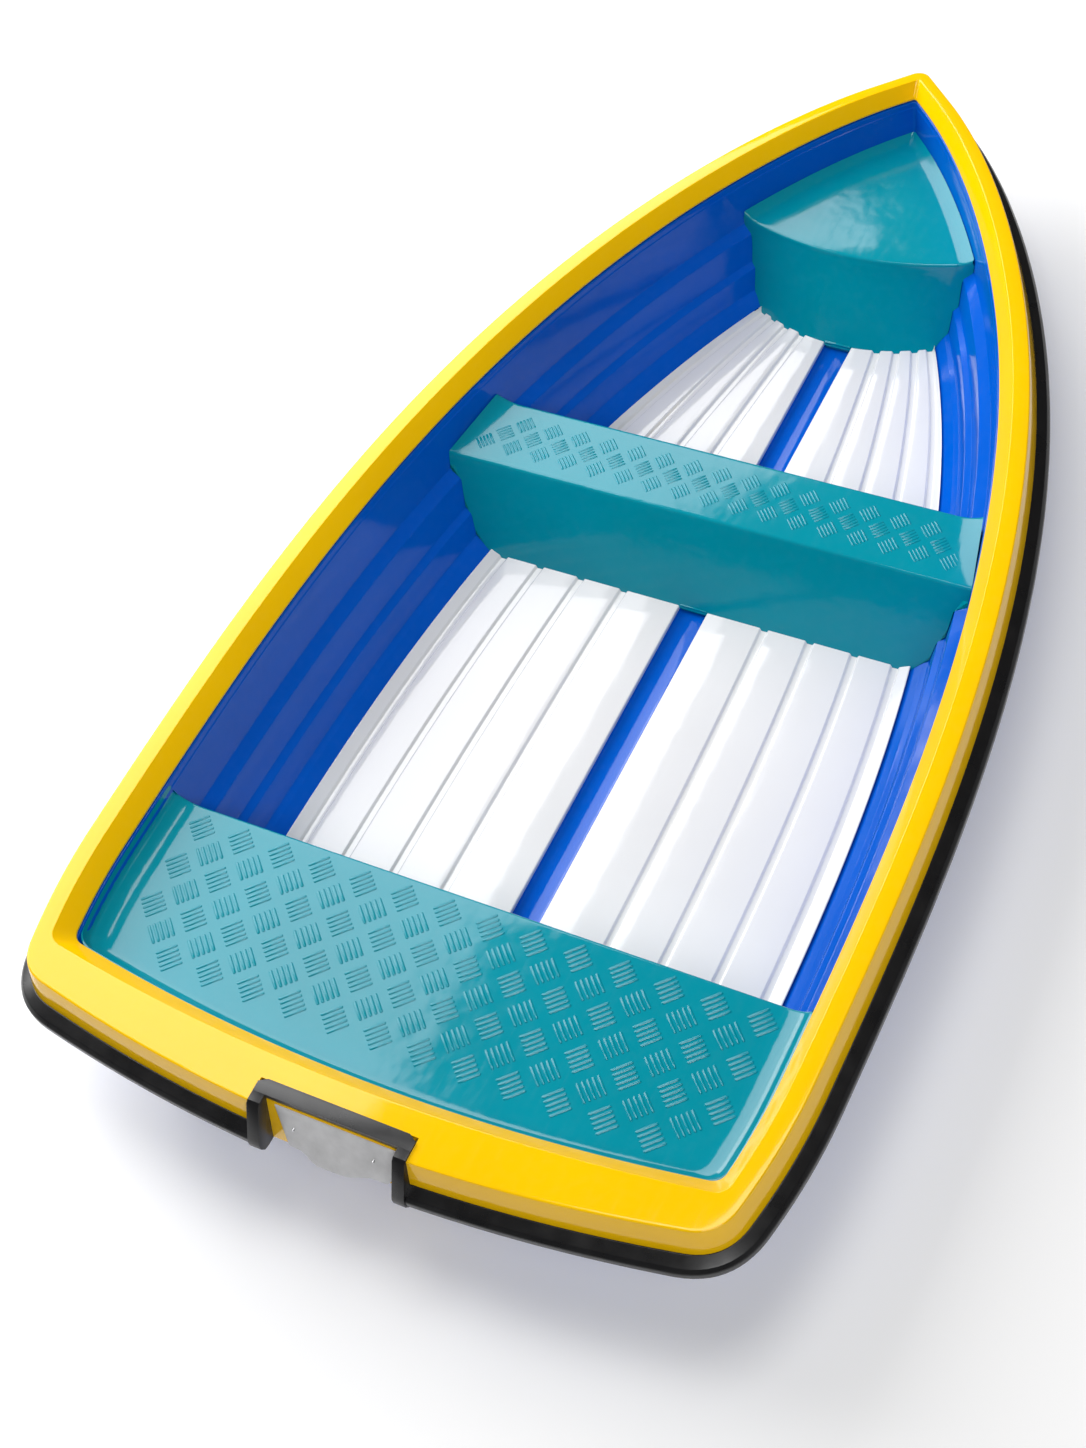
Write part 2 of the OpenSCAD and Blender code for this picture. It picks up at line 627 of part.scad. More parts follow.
module bow_eye() color("silver") at_boat() difference() {
  union() {
    translate([stem_face + eye_r + 9, eye_t / 2, -eye_depth]) rotate([90, 0, 0])
      cylinder(h = eye_t, r = eye_r + 7);
    translate([block_aft - 18, 0, -eye_depth]) rotate([0, 90, 0])
      cylinder(h = stem_face - block_aft + 18 + 6, r = shank_r);
    translate([stem_face - 6, 0, -eye_depth]) rotate([0, 90, 0]) cylinder(h = 5, r = shank_r + 5);
  }
  translate([stem_face + eye_r + 9, eye_t, -eye_depth]) rotate([90, 0, 0])
    cylinder(h = 2 * eye_t, r = eye_r);
}

module ring_on_shank(from, length, outer) {
  translate([from, 0, -eye_depth]) rotate([0, 90, 0]) difference() {
    cylinder(h = length, r = outer);
    translate([0, 0, -1]) cylinder(h = length + 2, r = shank_r + 0.1);
  }
}
module bow_eye_washer() color("silver") at_boat() ring_on_shank(block_aft - 2.5, 2.4, 15);
module bow_eye_nut() color("silver") at_boat()
  translate([block_aft - 2.6 - 8, 0, -eye_depth]) rotate([0, 90, 0]) difference() {
    cylinder(h = 8, r = 9.8, $fn = 6);
    translate([0, 0, -1]) cylinder(h = 10, r = shank_r + 0.1);
  }

// ---- Drain ---------------------------------------------------------------------------------

bush_r = drain_r + 4;
flange_r = drain_r + 10;
plug_len = 30;
module at_drain() {
  translate([drain_face, -drain_y, drain_level]) rotate([0, -90, 0]) children();
}
// The drain's own axis points aft, out of the transom
module drain_bush() color("#26272a") at_boat() at_drain() difference() {
  union() {
    translate([0, 0, -hull_wall - 14]) cylinder(h = hull_wall + 14 + 3, r = bush_r);
    translate([0, 0, gap + 5]) cylinder(h = 3, r = flange_r);
    cylinder(h = 6, r = bush_r);
  }
  translate([0, 0, -60]) cylinder(h = 100, r = drain_r);
}
module drain_nut() color("#3a3c40") at_boat() at_drain() translate([0, 0, -hull_wall - 13])
  difference() {
    cylinder(h = 6, r = bush_r + 7, $fn = 6);
    translate([0, 0, -1]) cylinder(h = 8, r = bush_r + 0.1);
  }
module drain_seal() color("#111214") at_boat() at_drain() translate([0, 0, 0.5 + gap]) difference() {
  cylinder(h = 4.4, r = flange_r - 1);
  translate([0, 0, -1]) cylinder(h = 8, r = bush_r + 0.1);
}
module drain_plug() color("#e8e9ea") at_boat() at_drain() {
  translate([0, 0, 8 + gap - plug_len]) cylinder(h = plug_len + 1, r = drain_r - plug_gap);
  translate([0, 0, 8 + gap + gap]) cylinder(h = 4, r = drain_r + 6);
  translate([-drain_r, -2.5, 12 + gap]) cube([2 * drain_r, 5, 10]);
}

hull_shell();
keel_strip();
keel_screws();
bilge_runner_port();
bilge_runner_starboard();
gunwale_cap();
gunwale_core();
gunwale_screws();
rub_rail_port();
rub_rail_starboard();
notch_frame();
motor_pad();
pad_screws();
transom_core();
floor_port();
floor_starboard();
stern_seat();
mid_thwart();
bow_seat();
stern_foam();
thwart_foam();
bow_foam();
stem_block();
bow_eye();
bow_eye_washer();
bow_eye_nut();
drain_bush();
drain_nut();
drain_seal();
drain_plug();
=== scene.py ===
"""Looks of the small moulded dinghy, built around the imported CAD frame.

Shapes are worked out in millimetres as (station, y, level): station is the distance forward of the
gunwale's stern corners, y is to port and level is the height above the gunwale's top face.
"""
import math

import bmesh
import bpy
import numpy as np
from mathutils import Matrix, Vector


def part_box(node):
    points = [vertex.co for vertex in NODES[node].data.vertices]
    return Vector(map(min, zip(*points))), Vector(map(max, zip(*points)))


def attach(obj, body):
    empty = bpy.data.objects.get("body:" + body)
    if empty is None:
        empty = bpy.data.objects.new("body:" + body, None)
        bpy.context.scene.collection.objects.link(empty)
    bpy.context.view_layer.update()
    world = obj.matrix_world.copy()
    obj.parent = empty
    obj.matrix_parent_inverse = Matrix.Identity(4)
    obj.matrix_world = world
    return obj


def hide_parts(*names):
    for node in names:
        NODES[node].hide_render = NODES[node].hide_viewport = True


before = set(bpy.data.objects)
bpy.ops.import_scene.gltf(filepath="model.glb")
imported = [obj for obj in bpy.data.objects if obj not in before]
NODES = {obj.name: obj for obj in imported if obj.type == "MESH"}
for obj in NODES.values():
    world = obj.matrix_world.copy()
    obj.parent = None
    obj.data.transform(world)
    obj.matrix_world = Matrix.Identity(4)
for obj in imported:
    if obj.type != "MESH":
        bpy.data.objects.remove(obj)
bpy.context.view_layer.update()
BOAT = "boat"
MM = 0.001

# ---- Driving sizes, as in the part's source ------------------------------------------------------
LENGTH = 2316.0
HALF_BEAM = 640.0
WIDEST = 270.0
STERN_TUCK = 34.0
TRANSOM_BOW = 69.0
BOW_R = 20.0
STERN_R = 45.0
FULLNESS = 2.75
BLUNTNESS = 0.82
TOP_W = 30.0
TRANSOM_TOP_W = 60.0
RAIL_OUT = 36.0
SKIRT_FOOT = -52.0
RAIL_TOP = -53.0
RAIL_BOTTOM = -94.0
BOTTOM = -273.0
HULL_WALL = 7.0
CHANNEL_HALF = 27.0
CHANNEL_DEPTH = 8.0
FLOOR_TOP = -264.2
FOREFOOT = 1900.0
FOREFOOT_RISE = 90.0
SEAT_FOOT = -268.6
NOTCH_HALF = 137.0
NOTCH_FRONT = -25.0
NOTCH_BACK = -50.0
RECESS_FOOT = -74.0          # the recess's wall slopes like the skirt, aft to this station
STERN_SEAT_TOP = -77.0
STERN_SEAT_FRONT = 404.0
THWART_TOP = -94.0
THWART_AFT = 1245.0
THWART_WIDTH = 143.0
STERN_PITCH = 78.0           # between groups of bars of the stern seat's tread
THWART_PITCH = 56.0

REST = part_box("gunwale_cap")[1].z / MM                      # height of the gunwale's top face
MIDDLE = LENGTH + RAIL_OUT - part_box("rub_rail_port")[1].x / MM

CORE_HALF = HALF_BEAM - BOW_R
CORE_TIP = LENGTH - BOW_R


def place(points):
    """Points in (station, y, level) millimetres as points of the row frame in metres."""
    return [((s - MIDDLE) * MM, y * MM, (level + REST) * MM) for s, y, level in points]


# ---- Plan of the boat ----------------------------------------------------------------------------
def core(s):
    """Half width at a station, less the bow radius."""
    if s <= WIDEST:
        return CORE_HALF - STERN_TUCK * ((WIDEST - s) / WIDEST) ** 2
    t = min(1.0, (s - WIDEST) / (CORE_TIP - WIDEST))
    return CORE_HALF * (1 - t ** FULLNESS) ** BLUNTNESS


def core_station(y):
    share = (y / CORE_HALF) ** (1 / BLUNTNESS)
    return WIDEST + (CORE_TIP - WIDEST) * (1 - share) ** (1 / FULLNESS)


def bend(a, b, c, t):
    return tuple(p * (1 - t) ** 2 + 2 * q * t * (1 - t) + r * t ** 2 for p, q, r in zip(a, b, c))


TIP, SIDE, CORNER, AFT = 10, 120, 12, 26


def head(o, to=None, count=SIDE):
    """Port side of the outline o outside the top edge, from the bow tip aft to a station."""
    shift = o + BOW_R
    radius = max(25 + 0.67 * o, 6)
    near = core_station(max(60, 24 - shift))
    slope = (core(near - 1) - core(near + 1)) / 2
    angle = math.atan(slope)
    apex = near + (core(near) + shift) / slope
    centre = apex - radius / math.sin(angle)
    arc = [(centre + radius * math.cos(a), radius * math.sin(a))
           for a in (i / TIP * (math.pi / 2 - angle) for i in range(TIP + 1))]
    side = [(s, core(s) + shift)
            for s in (near - (near - to) * (i / count) ** 1.25 for i in range(count))]
    return arc + side


def tail(o, aft, sag, radius, y_end=0.0):
    """Port half of the stern from the corner's start to y_end on the aft edge."""
    shift = o + BOW_R
    corner_y = core(aft) + shift
    start_y = corner_y - radius
    edge = lambda y: aft - sag * (1 - (y / corner_y) ** 2)
    first = (aft + radius, core(aft + radius) + shift)
    last = (edge(start_y), start_y)
    corner = [bend(first, (aft, corner_y), last, i / CORNER) for i in range(CORNER)]
    ys = [start_y + (y_end - start_y) * i / AFT for i in range(AFT + 1)]
    return corner + [(edge(y), y) for y in ys]


def aft_of(o):
    if o >= 0:
        return -o
    return -o * TRANSOM_TOP_W / TOP_W if o > -TOP_W else TRANSOM_TOP_W - TOP_W - o


def sag_of(o):
    return TRANSOM_BOW + max(min(o, 0), -TOP_W) * 0.7


def corner_of(o):
    return STERN_R + o if o >= 0 else max(18, STERN_R + o * 0.75)


def rise(s, level):
    """How far the bottom has risen towards the stem at a station, for a level."""
    along = max(0.0, s - FOREFOOT) / (LENGTH - FOREFOOT)
    return FOREFOOT_RISE * along ** 2 * max(0.0, min(1.0, (-level - 100) / 180))


def half_ring(o, level, aft=None, sag=None, y_end=0.0):
    aft = aft_of(o) if aft is None else aft
    sag = sag_of(o) if sag is None else sag
    r = corner_of(o)
    plan = head(o, aft + r) + tail(o, aft, sag, r, y_end)
    return [(s, y, level + rise(s, level)) for s, y in plan]


def full_ring(*where):
    half = half_ring(*where)
    return half + [(s, -y, z) for s, y, z in half[-2:0:-1]]


# ---- Sections ------------------------------------------------------------------------------------
def rounded(corners, closed=False, steps=4):
    """Polyline through (x, y, radius) corners, with each corner rounded."""
    out = []
    count = len(corners)
    for i, (x, y, r) in enumerate(corners):
        p = Vector((x, y))
        if r <= 0 or (not closed and i in (0, count - 1)):
            out.append((x, y))
            continue
        a = Vector(corners[i - 1][:2]) - p
        b = Vector(corners[(i + 1) % count][:2]) - p
        turn = math.pi - a.angle(b)
        reach = min(r * math.tan(turn / 2), 0.46 * a.length, 0.46 * b.length)
        start, end = p + a.normalized() * reach, p + b.normalized() * reach
        out += [bend(start, p, end, k / steps) for k in range(steps + 1)]
    return out


STRAKES = [(-56, -32), (-75, -130), (-98, -140), (-112, -193), (-125, -200), (-139, -240),
           (-150, -246), (-182, BOTTOM)]


def wall(level):
    """How far the planking's inner face lies inside the top edge, at a level."""
    return float(np.interp(-level, [-z for _, z in STRAKES], [-o for o, _ in STRAKES]))


# ---- Mesh helpers --------------------------------------------------------------------------------
class Shell:
    """Points and faces gathered from grids, then welded into one mesh."""

    def __init__(self):
        self.points, self.faces = [], []

    def grid(self, rows, closed_rows=False, closed_cols=False):
        base, width = len(self.points), len(rows[0])
        for row in rows:
            self.points += row
        for i in range(len(rows) if closed_rows else len(rows) - 1):
            j = (i + 1) % len(rows)
            for k in range(width if closed_cols else width - 1):
                m = (k + 1) % width
                self.faces.append((base + i * width + k, base + i * width + m,
                                   base + j * width + m, base + j * width + k))

    def cap(self, ring):
        base = len(self.points)
        self.points += ring
        self.faces.append(tuple(range(base, base + len(ring))))

    def build(self, name, upward=False, thickness=0.0, sharp=35, weld=0.02):
        mesh = bpy.data.meshes.new(name)
        bm = bmesh.new()
        verts = [bm.verts.new(p) for p in place(self.points)]
        for face in self.faces:
            corners = [verts[i] for i in face]
            if len(set(corners)) > 2:
                try:
                    bm.faces.new(corners)
                except ValueError:
                    pass
        bmesh.ops.remove_doubles(bm, verts=bm.verts, dist=weld * MM)
        bmesh.ops.dissolve_degenerate(bm, edges=bm.edges, dist=1e-7)
        bmesh.ops.recalc_face_normals(bm, faces=bm.faces)
        if upward and sum(f.normal.z * f.calc_area() for f in bm.faces) < 0:
            bmesh.ops.reverse_faces(bm, faces=bm.faces)
        bm.to_mesh(mesh)
        bm.free()
        piece = bpy.data.objects.new(name, mesh)
        bpy.context.scene.collection.objects.link(piece)
        if thickness:
            solid = piece.modifiers.new("thickness", "SOLIDIFY")
            solid.thickness = thickness * MM
            solid.offset = -1
            bake(piece)
        soften(piece, sharp)
        return piece


def bake(piece):
    """Applies the modifiers of a piece to its mesh."""
    evaluated = piece.evaluated_get(bpy.context.evaluated_depsgraph_get())
    mesh = bpy.data.meshes.new_from_object(evaluated)
    piece.modifiers.clear()
    piece.data = mesh


def soften(piece, angle=35):
    """Smooth shading, with edges over the angle kept sharp."""
    mesh = piece.data
    bm = bmesh.new()
    bm.from_mesh(mesh)
    for face in bm.faces:
        face.smooth = True
    for edge in bm.edges:
        edge.smooth = edge.calc_face_angle(0) < math.radians(angle)
    bm.to_mesh(mesh)
    bm.free()


def prism(name, outline, low, high, axis="y", bevel=0.0, segments=3):
    """Straight solid: an outline in the plane across the axis, between two places on it."""
    if axis == "y":
        ends = [[(s, v, z) for s, z in outline] for v in (low, high)]
    elif axis == "z":
        ends = [[(s, y, v) for s, y in outline] for v in (low, high)]
    else:
        ends = [[(v, y, z) for y, z in outline] for v in (low, high)]
    shell = Shell()
    shell.grid(ends, closed_cols=True)
    shell.cap(ends[0])
    shell.cap(ends[1])
    piece = shell.build(name)
    if bevel:
        edge = piece.modifiers.new("edges", "BEVEL")
        edge.width = bevel * MM
        edge.segments = segments
        edge.limit_method = "ANGLE"
        edge.angle_limit = math.radians(25)
        bake(piece)
        soften(piece, 40)
    return piece


def rectangle(a0, a1, b0, b1):
    return [(a0, b0), (a1, b0), (a1, b1), (a0, b1)]


def combine(piece, other, operation):
    """Boolean of two pieces, kept in the first; the second is removed."""
    cut = piece.modifiers.new("cut", "BOOLEAN")
    cut.operation = operation
    cut.solver = "EXACT"
    cut.object = other
    bake(piece)
    bpy.data.objects.remove(other)
    soften(piece)
    return piece


def join(pieces, name):
    """One piece made of several separate closed meshes."""
    bm = bmesh.new()
    for piece in pieces:
        bm.from_mesh(piece.data)
    mesh = bpy.data.meshes.new(name)
    bm.to_mesh(mesh)
    bm.free()
    for piece in pieces:
        bpy.data.objects.remove(piece)
    whole = bpy.data.objects.new(name, mesh)
    bpy.context.scene.collection.objects.link(whole)
    return whole


# ---- Materials -----------------------------------------------------------------------------------
class Nodes:
    """Short way to write a node tree."""

    def __init__(self, name):
        self.material = bpy.data.materials.new(name)
        self.material.use_nodes = True
        self.tree = self.material.node_tree
        self.shader = self.tree.nodes["Principled BSDF"]
        self.place = self.add("ShaderNodeTexCoord").outputs["Object"]

    def add(self, kind, **values):
        node = self.tree.nodes.new(kind)
        for key, value in values.items():
            if hasattr(node, key):
                setattr(node, key, value)
            else:
                node.inputs[key.replace("_", " ")].default_value = value
        return node

    def link(self, a, b):
        self.tree.links.new(a, b)

    def noise(self, scale, detail=3.0, roughness=0.55, stretch=None):
        node = self.add("ShaderNodeTexNoise", Scale=scale, Detail=detail, Roughness=roughness)
        source = self.place
        if stretch:
            mapping = self.add("ShaderNodeMapping")
            mapping.inputs["Scale"].default_value = stretch
            self.link(self.place, mapping.inputs["Vector"])
            source = mapping.outputs["Vector"]
        self.link(source, node.inputs["Vector"])
        return node.outputs["Fac"]

    def spread(self, value, low, high, to_low, to_high):
        node = self.add("ShaderNodeMapRange")
        for key, number in zip(("From Min", "From Max", "To Min", "To Max"),
                               (low, high, to_low, to_high)):
            node.inputs[key].default_value = number
        self.link(value, node.inputs["Value"])
        return node.outputs["Result"]

    def mix(self, factor, a, b):
        node = self.add("ShaderNodeMix", data_type="RGBA")
        sockets = [i for i in node.inputs if i.type == "RGBA"]
        self.link(factor, node.inputs[0])
        for socket, value in zip(sockets, (a, b)):
            if isinstance(value, tuple):
                socket.default_value = value
            else:
                self.link(value, socket)
        return [o for o in node.outputs if o.type == "RGBA"][0]

    def bump(self, height, distance, strength=1.0, under=None):
        node = self.add("ShaderNodeBump", Strength=strength, Distance=distance)
        self.link(height, node.inputs["Height"])
        if under:
            self.link(under, node.inputs["Normal"])
        return node.outputs["Normal"]


def shade(colour, factor):
    return tuple(min(1.0, c * factor) for c in colour) + (1.0,)


def gelcoat(name, colour, rough=0.12, coat=0.3, wave=0.0004, wave_scale=14.0, peel=0.00002,
            variation=0.12, dust=0.03, gloss=0.35):
    """Glossy moulded gelcoat: soft waves of the mould, orange peel, faint wear and dust."""
    n = Nodes(name)
    cloudy = n.mix(n.spread(n.noise(3.5, 4), 0.3, 0.7, 0, 1),
                   shade(colour, 1 - variation), shade(colour, 1 + variation))
    fine = n.mix(n.spread(n.noise(60, 5), 0.45, 0.75, 0, dust), cloudy, (0.8, 0.8, 0.78, 1))
    n.link(fine, n.shader.inputs["Base Color"])
    scuffs = n.spread(n.noise(9, 6, 0.7, (1, 14, 5)), 0.5, 0.8, rough, rough + 0.13)
    n.link(scuffs, n.shader.inputs["Roughness"])
    waves = n.bump(n.noise(wave_scale, 2, 0.5), wave)
    n.link(n.bump(n.noise(260, 2), peel, under=waves), n.shader.inputs["Normal"])
    n.shader.inputs["Coat Weight"].default_value = coat
    n.shader.inputs["Coat Roughness"].default_value = 0.04
    n.shader.inputs["Specular IOR Level"].default_value = gloss
    return n.material


def rubber(name, colour, rough=0.3):
    """Extruded black rail: fine grain, soft waves, pale scuffs."""
    n = Nodes(name)
    marks = n.spread(n.noise(45, 6, 0.7), 0.58, 0.78, 0, 0.35)
    grey = n.mix(marks, shade(colour, 1), shade(colour, 3.2))
    n.link(grey, n.shader.inputs["Base Color"])
    n.link(n.spread(n.noise(20, 5), 0.3, 0.7, rough - 0.07, rough + 0.1),
           n.shader.inputs["Roughness"])
    waves = n.bump(n.noise(9, 2), 0.0008)
    n.link(n.bump(n.noise(900, 2), 0.00004, under=waves), n.shader.inputs["Normal"])
    return n.material


def satin(name, colour, rough=0.4, metallic=0.0, grain=500.0):
    """Satin plastic or metal with fine grain and a little dirt."""
    n = Nodes(name)
    n.link(n.mix(n.spread(n.noise(25, 5), 0.35, 0.75, 0, 1), shade(colour, 1.05),
                 shade(colour, 0.82)), n.shader.inputs["Base Color"])
    n.link(n.spread(n.noise(80, 4), 0.3, 0.7, rough - 0.08, rough + 0.08),
           n.shader.inputs["Roughness"])
    n.link(n.bump(n.noise(grain, 2), 0.00003), n.shader.inputs["Normal"])
    n.shader.inputs["Metallic"].default_value = metallic
    return n.material


def layered_wood(name):
    """Plywood: thin brown and pale plies, with grain along them."""
    n = Nodes(name)
    plies = n.add("ShaderNodeTexWave", Scale=90.0, Distortion=0.6)
    plies.bands_direction = "X"
    n.link(n.place, plies.inputs["Vector"])
    grain = n.noise(8, 6, 0.7, (30, 2, 30))
    base = n.mix(plies.outputs["Fac"], (0.36, 0.19, 0.08, 1), (0.58, 0.36, 0.17, 1))
    n.link(n.mix(n.spread(grain, 0.4, 0.7, 0, 0.5), base, (0.22, 0.11, 0.05, 1)),
           n.shader.inputs["Base Color"])
    n.link(n.spread(grain, 0.3, 0.7, 0.5, 0.7), n.shader.inputs["Roughness"])
    n.link(n.bump(grain, 0.0002), n.shader.inputs["Normal"])
    return n.material


def foam_material(name):
    """Cut closed-cell foam: fine cells and a rough, pale skin."""
    n = Nodes(name)
    cells = n.add("ShaderNodeTexVoronoi", Scale=420.0)
    n.link(n.place, cells.inputs["Vector"])
    n.link(n.mix(cells.outputs["Distance"], (0.42, 0.37, 0.24, 1), (0.78, 0.72, 0.55, 1)),
           n.shader.inputs["Base Color"])
    n.link(n.spread(n.noise(30), 0.3, 0.7, 0.75, 0.95), n.shader.inputs["Roughness"])
    n.link(n.bump(cells.outputs["Distance"], 0.0004), n.shader.inputs["Normal"])
    return n.material


BLUE = gelcoat("blue_gelcoat", (0.0, 0.1, 0.56), 0.08, 0.1, 0.0009, 8.0, variation=0.06, dust=0.005,
               gloss=0.25)
YELLOW = gelcoat("yellow_gelcoat", (1.0, 0.57, 0.0), 0.08, 0.2, 0.0007, 9.0, variation=0.03, dust=0.005,
                 gloss=0.3)
TEAL = gelcoat("teal_gelcoat", (0.0, 0.26, 0.34), 0.09, 0.25, 0.0009, 16.0, variation=0.05, dust=0.005)
WHITE = gelcoat("white_gelcoat", (0.76, 0.76, 0.77), 0.08, 0.5, 0.0012, 9.0, variation=0.02,
                gloss=0.5)
BLACK = rubber("black_rail", (0.008, 0.008, 0.009))
PLASTIC = satin("black_moulding", (0.012, 0.012, 0.013), 0.45)
PAD_GREY = satin("pad_grey", (0.6, 0.6, 0.61), 0.36)
STEEL = satin("brushed_steel", (0.6, 0.6, 0.61), 0.25, 1.0, 1200.0)
SEAL = satin("seal_rubber", (0.01, 0.01, 0.01), 0.7)
BLOCK = satin("grey_block", (0.15, 0.16, 0.17), 0.5)
PLUG = satin("white_plug", (0.75, 0.75, 0.74), 0.35)
WOOD = layered_wood("plywood")
FOAM = foam_material("closed_cell_foam")


def finish(piece, material, slot, *nodes, body=BOAT):
    piece.data.materials.clear()
    piece.data.materials.append(material)
    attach(piece, body)
    if nodes:
        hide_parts(*nodes)
    return piece


# ---- Camera --------------------------------------------------------------------------------------
def make_camera():
    """Seen from astern and to starboard, 53 degrees above the floor, rolled by 10 degrees."""
    eye = Vector((-2.2721, -1.5403, 3.5374))
    right = Vector((0.438522, -0.881706, -0.174049))
    down = Vector((-0.773372, -0.271563, -0.572843))
    forward = right.cross(down)
    camera = bpy.data.objects.new("camera", bpy.data.cameras.new("camera"))
    bpy.context.scene.collection.objects.link(camera)
    turn = Matrix((right, -down, -forward)).transposed().to_4x4()
    camera.matrix_world = Matrix.Translation(eye) @ turn
    camera.data.sensor_fit = "HORIZONTAL"
    camera.data.sensor_width = 36.0
    camera.data.lens = 82.88
    bpy.context.scene.camera = camera


# ---- Hull ----------------------------------------------------------------------------------------
TRANSOM_AFT = 34.0
TRANSOM_SAG = 40.0


def bottom_rows(plan, level, half, depth, edge):
    """Cross lines of the bottom, with a trough of a given half width and depth along the middle."""
    rows = []
    for s, y, _ in plan:
        z = level + rise(s, level)
        c = min(half, 0.85 * y)
        d = depth * min(1.0, max(0.0, (s - 62) / 14), max(0.0, (FOREFOOT - 2 - s) / 14))
        port = [(s, y, z), (s, min(y, c + edge), z), (s, c, z - min(edge, d / 2)),
                (s, c, z - d + min(edge, d / 2)), (s, max(0, c - edge), z - d)]
        rows.append(port + [(s, -b, h) for s, b, h in reversed(port)])
    return rows


def make_hull():
    inner = rounded([(-50, -33.5, 0), (-57, -35.5, 2), (-58.6, -45, 1.5), (-60.2, -47.5, 1.5),
                     (-74, -127, 5), (-97, -139, 6), (-112, -193, 4), (-125, -200, 5),
                     (-139, -240, 4), (-150, -246, 5), (-182, BOTTOM, 3), (-190, BOTTOM, 0)])
    outer = rounded([(-1, -32.3, 0), (-1, -38, 0), (-48, -38, 2), (-68, -137, 5), (-91, -147, 4),
                     (-105, -200, 5), (-118, -207, 4), (-132, -247, 5), (-143, -253, 4),
                     (-175, BOTTOM - HULL_WALL, 6), (-190, BOTTOM - HULL_WALL, 0)])
    shell = Shell()
    shell.grid([full_ring(o, z, TRANSOM_AFT, TRANSOM_SAG) for o, z in inner], closed_cols=True)
    shell.grid([full_ring(-1, -32.3, 1, TRANSOM_BOW),
                full_ring(-50, -33.5, TRANSOM_AFT, TRANSOM_SAG)], closed_cols=True)
    shell.grid([full_ring(-1, z, 1, TRANSOM_BOW) for z in (-32.3, -38)], closed_cols=True)
    shell.grid([full_ring(-1, -38, 1, TRANSOM_BOW)]
               + [full_ring(o, z, TRANSOM_AFT - HULL_WALL, TRANSOM_SAG) for o, z in outer[2:]],
               closed_cols=True)
    shell.grid(bottom_rows(half_ring(-190, BOTTOM, TRANSOM_AFT, TRANSOM_SAG), BOTTOM,
                           CHANNEL_HALF, CHANNEL_DEPTH, 2.5))
    shell.grid(bottom_rows(half_ring(-190, BOTTOM - HULL_WALL, TRANSOM_AFT - HULL_WALL,
                                     TRANSOM_SAG), BOTTOM - HULL_WALL,
                           CHANNEL_HALF + HULL_WALL, CHANNEL_DEPTH, 3))
    hull = shell.build("hull_planking", sharp=50)
    notch = prism("flange_cutter", rectangle(-90, -15, -149, 149), -50, -20, axis="z")
    combine(hull, notch, "DIFFERENCE")
    soften(hull, 50)
    return finish(hull, BLUE, "hull_gelcoat", "hull_shell")


# ---- Gunwale, rail and motor notch ---------------------------------------------------------------
def make_gunwale():
    section = rounded([(12, SKIRT_FOOT, 1.2), (0.5, 0, 3.5), (-TOP_W, 0, 2.5), (-55, -27, 2.5),
                       (-55.8, -30, 0.6), (-51, -30, 0.6), (-29, -6, 2), (-8, -6, 5),
                       (-1, -40, 0), (0, RAIL_BOTTOM, 0), (5, RAIL_BOTTOM, 0), (5.5, -54, 1)],
                      closed=True)
    shell = Shell()
    shell.grid([full_ring(o, z) for o, z in section], closed_rows=True, closed_cols=True)
    cap = shell.build("gunwale_moulding", sharp=40)
    notch = prism("notch_cutter", rectangle(-130, NOTCH_FRONT, -NOTCH_HALF, NOTCH_HALF),
                  -110, 20, axis="z")
    combine(cap, notch, "DIFFERENCE")
    finish(cap, YELLOW, "gunwale_gelcoat", "gunwale_cap")
    recess = prism("notch_recess", [(-16, -9), (NOTCH_BACK - 1, -9), (RECESS_FOOT, RAIL_BOTTOM),
                                    (-16, RAIL_BOTTOM)], 8 - NOTCH_HALF, NOTCH_HALF - 8, bevel=1.5)
    finish(recess, YELLOW, "gunwale_gelcoat")


RAIL_SECTION = [(5.3, RAIL_TOP, 0), (13, RAIL_TOP, 1.5), (30, -60, 4), (RAIL_OUT, -67, 6),
                (RAIL_OUT, -78, 6), (31, -90, 4), (20, RAIL_BOTTOM, 3), (5.3, RAIL_BOTTOM, 0)]


def make_rail(name, side):
    shell = Shell()
    loops = [half_ring(o, z, y_end=NOTCH_HALF + 0.3) for o, z in rounded(RAIL_SECTION, True)]
    loops = [[(s, side * max(y, 0.2), z) for s, y, z in loop] for loop in loops]
    shell.grid(loops, closed_rows=True)
    shell.cap([loop[0] for loop in loops])
    shell.cap([loop[-1] for loop in loops])
    finish(shell.build("rail_" + name, sharp=45), BLACK, "rail_rubber", "rub_rail_" + name)


